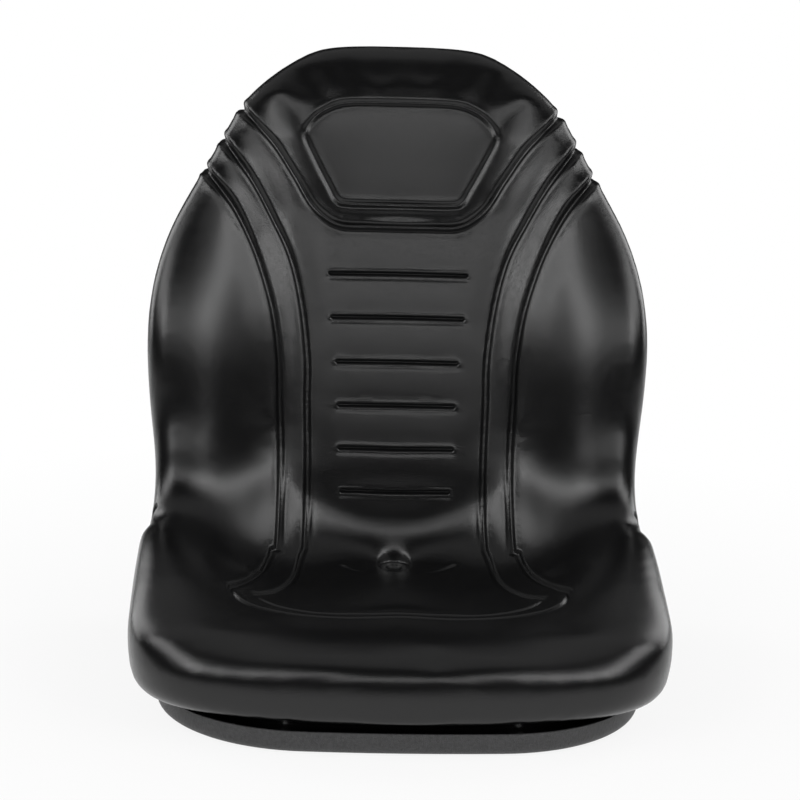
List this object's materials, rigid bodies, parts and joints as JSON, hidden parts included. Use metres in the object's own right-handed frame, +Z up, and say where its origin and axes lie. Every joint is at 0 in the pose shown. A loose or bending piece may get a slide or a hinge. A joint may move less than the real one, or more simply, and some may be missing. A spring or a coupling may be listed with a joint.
{
  "type": "tractor seat",
  "caption": "High-back bucket seat for a garden tractor: a one-piece padded vinyl cushion with side bolsters and a grooved back, on a pressed steel pan with bolt holes and a drain.",
  "frame": {"origin": "centre of the four mounting holes, on the underside of the pan", "axes": "+Z up, the front of the seat towards -Y, X across the seat"},
  "size_m": [0.49, 0.5242, 0.5729],
  "materials": {
    "skin": "satin black vinyl with a fine leather grain",
    "pan": "matt black textured powder coat",
    "nuts": "bright zinc plate",
    "drain": "matt black moulded plastic"
  },
  "bodies": {
    "root": {"cushion": "skin", "seat_pan": "pan", "mounting_nuts": "nuts", "drain_insert": "drain"}
  },
  "joints": []
}
